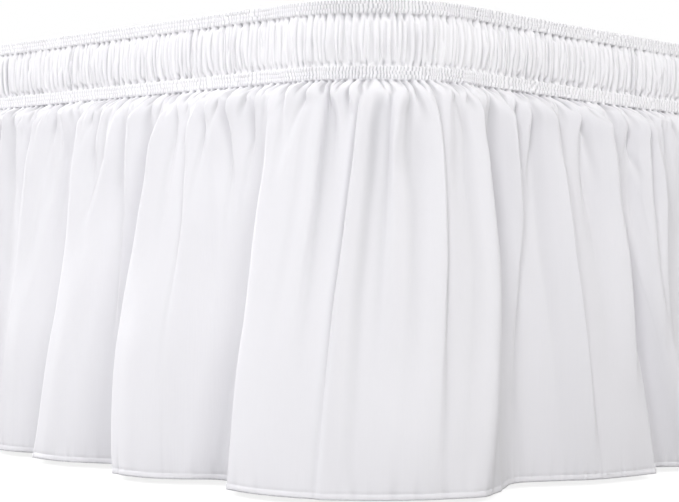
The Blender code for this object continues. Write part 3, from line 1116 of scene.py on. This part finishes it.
def make_belt(where, start, stop, coarse, cloth):
    """The three stretches of one run's belt: top band, ruche and lower band."""
    # The band at the top edge, with a frilly edge that is turned in behind it.
    columns, rows, coarsest = TOP_BAND_SPACING
    depth = spaced(0.0, TOP_BAND, rows * min(coarse, coarsest))
    top_band = Stretch(f"top_band_{where}", spaced(start, stop, columns * coarse), depth)
    top_band.out += rib_relief(top_band, UPPER_BAND)
    frill = (top_band.out[:1] - BAND_OUT) * np.exp(-top_band.depth / FRILL_REACH)
    top_band.lift += FRILL_LIFT * frill
    spot = ring(top_band.along)
    outward = np.stack([spot[2], spot[3], np.zeros_like(spot[2])], axis=2)
    points = top_band.points()
    end = int(np.searchsorted(depth, TURNED_IN))
    inner = turned_in(points, outward, 0, end)[::-1]
    points = np.concatenate([inner, points])
    depth = np.concatenate([[depth[end], 0.0], depth])
    painted_shade = painted_shade_share(top_band, "band")
    painted_shade = np.concatenate([painted_shade[[end, 0]], painted_shade])
    places = top_band.along[:1]
    pieces = [grid_object(top_band.name, points, places, depth[:, None], painted_shade, cloth)]
    # The ruched stretch between the two bands.
    columns, rows, coarsest = RUCHE_SPACING
    depth = spaced(TOP_BAND - RUCHE_TUCK, RUCHE_END + RUCHE_TUCK, rows * min(coarse, coarsest))
    ruche = Stretch(f"ruche_{where}", spaced(start, stop, columns * coarse), depth)
    ruche_belt(ruche)
    pieces.append(stretch_object(ruche, "ruche", cloth))
    # The band above the gather line.
    columns, rows, coarsest = LOWER_BAND_SPACING
    depth = spaced(RUCHE_END, HEADING_HEIGHT, rows * min(coarse, coarsest))
    lower_band = Stretch(f"lower_band_{where}", spaced(start, stop, columns * coarse), depth)
    lower_band.out += rib_relief(lower_band, LOWER_BAND)
    pieces.append(stretch_object(lower_band, "band", cloth))
    return pieces


def make_skirt(cloth):
    """The skirt's pieces, each with the width and height that its cloth was cut to."""
    heights = (
        PUFF_TAKES * TOP_BAND + TURNED_IN,
        PUFF_TAKES * (RUCHE_END - TOP_BAND),
        PUFF_TAKES * (HEADING_HEIGHT - RUCHE_END),
    )
    finish_at = PERIMETER + FRONT_FROM
    rows = (GATHERS_HEIGHT, DROP_HEIGHT, 1)
    drop, across = make_drop("drop_front", FRONT_FROM, FRONT_TO, DROP_STEP, rows, cloth)
    rows = (0.0, GATHERS_HEIGHT + GATHERS_OVERLAP, 1)
    gathers, _ = make_drop("gathers_front", FRONT_FROM, FRONT_TO, GATHERS_STEP, rows, cloth)
    rows = (0.0, DROP_HEIGHT, ROUND_EVERY)
    round_drop, round_across = make_drop(
        "drop_round", FRONT_TO, finish_at, ROUND_DROP_STEP, rows, cloth
    )
    front_width, round_width = float(across[-1]), float(round_across[-1])
    cut = [
        (drop, (front_width, DROP_HEIGHT - GATHERS_HEIGHT + HEM_STITCH)),
        (gathers, (front_width, PUFF_TAKES * GATHERS_HEIGHT)),
        (round_drop, (round_width, DROP_HEIGHT + HEM_STITCH)),
    ]
    runs = (
        ("front", FRONT_FROM, FRONT_TO, 1.0, front_width),
        ("round", FRONT_TO, finish_at, ROUND_COARSENESS, round_width),
    )
    for where, start, stop, coarse, width in runs:
        for piece, height in zip(make_belt(where, start, stop, coarse, cloth), heights):
            cut.append((piece, (width, height)))
    return cut


# The camera is turned by so many degrees from the foot's wall toward the right side, and
# stands so far to the left of the belt's square corner, in front of it and above the floor.
CAMERA_TURN = 47.2
CAMERA_LEFT, CAMERA_BACK, CAMERA_HEIGHT = 0.0236, 1.3573, 0.1926
SENSOR_WIDTH, LENS = 36.0, 96.1
# The photograph's centre lies so many pixels under the horizon, at so many pixels a radian.
UNDER_HORIZON, PIXELS_A_RADIAN = 4.5, 1813.0
CAMERA_ROLL = 0.007


def make_camera():
    data = bpy.data.cameras.new("camera")
    data.sensor_width = SENSOR_WIDTH
    data.lens = LENS
    data.clip_start = 0.05
    data.clip_end = 200.0
    camera = bpy.data.objects.new("camera", data)
    bpy.context.scene.collection.objects.link(camera)
    turned = math.radians(CAMERA_TURN)
    right = Vector((math.cos(turned), math.sin(turned), 0.0))
    ahead = Vector((-math.sin(turned), math.cos(turned), 0.0))
    corner = Vector((RING_WIDTH / 2, -RING_LENGTH / 2, 0.0))
    place = corner - CAMERA_LEFT * right - CAMERA_BACK * ahead
    place.z = CAMERA_HEIGHT
    tip = math.atan(-UNDER_HORIZON / PIXELS_A_RADIAN)
    ahead = ahead * math.cos(tip) + Vector((0, 0, 1)) * math.sin(tip)
    up = right.cross(ahead)
    right, up = (
        right * math.cos(CAMERA_ROLL) + up * math.sin(CAMERA_ROLL),
        up * math.cos(CAMERA_ROLL) - right * math.sin(CAMERA_ROLL),
    )
    turn = Matrix((right, up, -ahead)).transposed().to_4x4()
    camera.matrix_world = Matrix.Translation(place) @ turn
    bpy.context.scene.camera = camera


class Lamp(NamedTuple):
    """A square light that is aimed at the photographed corner.

    turn is its direction in degrees from straight in front of the foot, positive toward the
    long right side, and rise is how high it stands, in degrees. power is in watts.
    """

    name: str
    turn: float
    rise: float
    power: float
    colour: tuple


LAMPS = (
    Lamp("far_left", -90.0, 20.0, 204.0, (1.0, 0.995, 1.0)),
    Lamp("left", -60.0, 30.0, 78.0, (1.0, 0.995, 1.0)),
    Lamp("key", -32.0, 36.0, 52.0, (1.0, 0.995, 1.0)),
    Lamp("high_front", -4.0, 36.0, 31.0, (1.0, 1.0, 1.0)),
    Lamp("front", 34.0, 21.0, 100.0, (1.0, 1.0, 1.0)),
    Lamp("side", 69.0, 22.0, 80.0, (1.0, 0.995, 0.985)),
    Lamp("rim", 130.0, 30.0, 86.0, (1.0, 0.985, 0.965)),
    Lamp("back", -155.0, 30.0, 70.0, (1.0, 1.0, 1.0)),
)
LAMP_SIZE = 1.6
LAMP_DISTANCE = 5.0
LAMPS_AIM = Vector((0.45, -0.95, 0.20))
# The sky's light fades from its full strength straight above to nothing at the horizon.
SKY_COLOUR, SKY_STRENGTH = (0.985, 0.985, 1.0, 1.0), 0.20
# The floor's gray, as it lights the object and as it is seen, and its glow when it is seen.
FLOOR_GRAYS, FLOOR_GLOW = ((0.40, 0.40, 0.40), (0.36, 0.36, 0.36)), 0.86
FLOOR_REACH = 60.0


def hang_lamp(lamp):
    data = bpy.data.lights.new(lamp.name, "AREA")
    data.shape = "SQUARE"
    data.size = LAMP_SIZE
    data.energy = lamp.power
    data.color = lamp.colour
    light = bpy.data.objects.new(lamp.name, data)
    turn, rise = math.radians(lamp.turn), math.radians(lamp.rise)
    toward = Vector(
        (math.sin(turn) * math.cos(rise), -math.cos(turn) * math.cos(rise), math.sin(rise))
    )
    light.location = LAMPS_AIM + LAMP_DISTANCE * toward
    light.rotation_mode = "QUATERNION"
    light.rotation_quaternion = (-toward).to_track_quat("-Z", "Y")
    bpy.context.scene.collection.objects.link(light)


def make_sky():
    """A backdrop that shows as plain white, while the sky's light comes mostly from above."""
    world = bpy.data.worlds.new("studio")
    world.use_nodes = True
    bpy.context.scene.world = world
    sky = Nodes(world.node_tree)
    direction = sky.node("ShaderNodeTexCoord", output="Generated")
    height = sky.node("ShaderNodeSeparateXYZ", None, {"Vector": direction}, 2)
    settings = {"operation": "MULTIPLY", "use_clamp": True}
    upward = sky.node("ShaderNodeMath", settings, {0: height, 1: 1.0})
    light = world.node_tree.nodes["Background"]
    sky.feed(light.inputs["Color"], SKY_COLOUR)
    sky.feed(light.inputs["Strength"], SKY_STRENGTH * upward)
    white = {"Color": (1.0, 1.0, 1.0, 1.0), "Strength": 1.0}
    backdrop = sky.node("ShaderNodeBackground", None, white)
    seen = sky.node("ShaderNodeLightPath", output="Is Camera Ray")
    both = {0: seen, 1: Value(sky, light.outputs["Background"]), 2: backdrop}
    shown = sky.node("ShaderNodeMixShader", None, both)
    sky.feed(world.node_tree.nodes["World Output"].inputs["Surface"], shown)


def make_floor():
    """A floor that looks nearly white, and yet throws little light up on the object."""
    pale = Finish("pale_floor", 0.9, Emission_Strength=FLOOR_GLOW)
    seen = pale.node("ShaderNodeLightPath", output="Is Camera Ray")
    pale.set("Base Color", mixed_colour(pale, seen, *FLOOR_GRAYS))
    pale.set("Emission Color", mixed_colour(pale, seen, (0.0, 0.0, 0.0), (1.0, 1.0, 1.0)))
    mesh = bpy.data.meshes.new("floor")
    turns = ((-1, -1), (1, -1), (1, 1), (-1, 1))
    corners = [(x * FLOOR_REACH, y * FLOOR_REACH, 0.0) for x, y in turns]
    mesh.from_pydata(corners, (), [(0, 1, 2, 3)])
    mesh.materials.append(pale.material)
    floor = bpy.data.objects.new("floor", mesh)
    bpy.context.scene.collection.objects.link(floor)


cloth = brushed_microfibre()
elastic = woven_elastic()
for node in ("elastic_upper", "elastic_lower"):
    dress(node, elastic)
dress("bed_base", base_ticking())
wood = turned_beech()
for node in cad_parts:
    if node.startswith("leg_"):
        dress(node, wood)
for piece, flat in make_skirt(cloth):
    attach(piece, "root")
    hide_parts("skirt")
make_camera()
make_sky()
make_floor()
for lamp in LAMPS:
    hang_lamp(lamp)
bpy.context.scene.view_settings.view_transform = "Standard"
